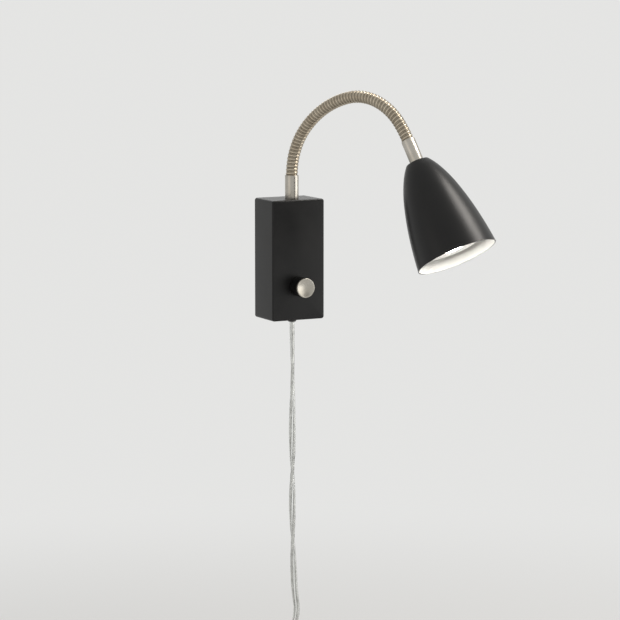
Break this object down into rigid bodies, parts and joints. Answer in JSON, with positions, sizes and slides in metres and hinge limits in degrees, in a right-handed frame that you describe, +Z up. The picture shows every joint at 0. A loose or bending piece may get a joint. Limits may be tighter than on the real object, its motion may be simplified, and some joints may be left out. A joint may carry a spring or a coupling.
{
  "type": "bedside wall reading lamp",
  "caption": "Wall-mounted bedside reading lamp: black box with a dimmer knob, satin metal gooseneck, black bullet shade and a flat clear cord with plug.",
  "frame": {"origin": "middle of the box's back, on the wall's face", "axes": "+Y into the wall, -Y towards the room, +X to the right as seen from the room, +Z up"},
  "size_m": [0.2119, 0.239, 0.6851],
  "materials": {
    "black_paint": "satin",
    "steel": "zinc plated",
    "black_screw": "blackened",
    "satin_nickel": "satin, slightly warm",
    "nickel_pins": "bright nickel plate",
    "brass": "turned",
    "black_plastic": "moulded",
    "white_plastic": "moulded",
    "clear_cord": "clear PVC over tinned strands",
    "clear_plastic": "clear PVC",
    "brown_core": "insulation",
    "white_core": "insulation",
    "ceramic": "glazed ceramic",
    "lamp_housing": "white moulding",
    "lamp_glass": "frosted"
  },
  "bodies": {
    "base": {"base_cover": "black_paint", "wall_plate": "steel", "cover_screws": "black_screw", "dimmer_body": "black_plastic", "dimmer_bush": "brass", "dimmer_nut": "steel", "terminal_block": "white_plastic", "terminal_screws": "brass", "cord_bush": "black_plastic", "cord_clamp": "white_plastic", "cord_clamp_screws": "steel", "supply_cord_end": "clear_cord", "supply_cores": "brown_core", "dimmer_cores": "brown_core", "lamp_cores": "white_core", "base_ferrule": "satin_nickel", "base_ferrule_washer": "steel", "base_ferrule_nut": "steel", "neck_length_01": "satin_nickel", "neck_cable": "white_core", "mains_cord": "clear_cord", "cord_coil": "clear_cord", "cord_tail": "clear_cord", "cord_tie": "black_plastic", "plug_body": "clear_plastic", "plug_pins": "nickel_pins"},
    "neck_02": {"neck_length_02": "satin_nickel"},
    "neck_03": {"neck_length_03": "satin_nickel"},
    "neck_04": {"neck_length_04": "satin_nickel"},
    "neck_05": {"neck_length_05": "satin_nickel"},
    "neck_06": {"neck_length_06": "satin_nickel"},
    "neck_07": {"neck_length_07": "satin_nickel"},
    "neck_08": {"neck_length_08": "satin_nickel"},
    "neck_09": {"neck_length_09": "satin_nickel"},
    "neck_10": {"neck_length_10": "satin_nickel"},
    "neck_11": {"neck_length_11": "satin_nickel"},
    "neck_12": {"neck_length_12": "satin_nickel"},
    "neck_13": {"neck_length_13": "satin_nickel"},
    "head": {"neck_length_14": "satin_nickel", "head_ferrule": "satin_nickel", "head_ferrule_washer": "steel", "head_ferrule_nut": "steel", "lamp_shade": "black_paint", "lampholder_bracket": "steel", "bracket_screws": "steel", "lampholder": "ceramic", "head_cores": "white_core", "lamp_body": "lamp_housing", "lamp_pins": "nickel_pins", "lamp_lens": "lamp_glass"},
    "knob": {"dimmer_shaft": "steel", "dimmer_knob": "black_plastic", "knob_cap": "satin_nickel"}
  },
  "joints": [
    {"name": "neck_bend_01", "type": "hinge", "parent": "base", "child": "neck_02", "pos_m": [0.00055, -0.02531, 0.09392], "axis": [0.9205, 0.3907, 0], "range_deg": [-16, 4], "deforming": ["neck_cable"]},
    {"name": "neck_bend_02", "type": "hinge", "parent": "neck_02", "child": "neck_03", "pos_m": [0.0022, -0.02917, 0.10727], "axis": [0.9205, 0.3907, 0], "range_deg": [-16, 4]},
    {"name": "neck_turn_03", "type": "hinge", "parent": "neck_03", "child": "neck_04", "pos_m": [0.00485, -0.03544, 0.1195], "axis": [0.3204, -0.7548, -0.5724], "range_deg": [-12, 12]},
    {"name": "neck_bend_04", "type": "hinge", "parent": "neck_04", "child": "neck_05", "pos_m": [0.00841, -0.0438, 0.13014], "axis": [0.9205, 0.3907, 0], "range_deg": [-16, 4]},
    {"name": "neck_bend_05", "type": "hinge", "parent": "neck_05", "child": "neck_06", "pos_m": [0.01256, -0.0536, 0.13925], "axis": [0.9205, 0.3907, 0], "range_deg": [-16, 4]},
    {"name": "neck_turn_06", "type": "hinge", "parent": "neck_06", "child": "neck_07", "pos_m": [0.0172, -0.06451, 0.14671], "axis": [0.1834, -0.432, -0.883], "range_deg": [-12, 12]},
    {"name": "neck_bend_07", "type": "hinge", "parent": "neck_07", "child": "neck_08", "pos_m": [0.0222, -0.07631, 0.15236], "axis": [0.9205, 0.3907, 0], "range_deg": [-16, 4]},
    {"name": "neck_bend_08", "type": "hinge", "parent": "neck_08", "child": "neck_09", "pos_m": [0.02748, -0.08874, 0.15609], "axis": [0.9205, 0.3907, 0], "range_deg": [-16, 4]},
    {"name": "neck_turn_09", "type": "hinge", "parent": "neck_09", "child": "neck_10", "pos_m": [0.03293, -0.10157, 0.15719], "axis": [-0.014, 0.0329, -0.9994], "range_deg": [-12, 12]},
    {"name": "neck_bend_10", "type": "hinge", "parent": "neck_10", "child": "neck_11", "pos_m": [0.03833, -0.1143, 0.15509], "axis": [0.9205, 0.3907, 0], "range_deg": [-16, 4]},
    {"name": "neck_bend_11", "type": "hinge", "parent": "neck_11", "child": "neck_12", "pos_m": [0.0434, -0.12626, 0.1499], "axis": [0.9205, 0.3907, 0], "range_deg": [-16, 4]},
    {"name": "neck_turn_12", "type": "hinge", "parent": "neck_12", "child": "neck_13", "pos_m": [0.04788, -0.13681, 0.14188], "axis": [-0.2592, 0.6106, -0.7484], "range_deg": [-12, 12]},
    {"name": "neck_bend_13", "type": "hinge", "parent": "neck_13", "child": "head", "pos_m": [0.05153, -0.1454, 0.13147], "axis": [0.9205, 0.3907, 0], "range_deg": [-16, 4]},
    {"name": "dimmer_turn", "type": "hinge", "parent": "base", "child": "knob", "pos_m": [0, -0.038, -0.025], "axis": [0, -1, 0], "range_deg": [-60, 210]}
  ]
}
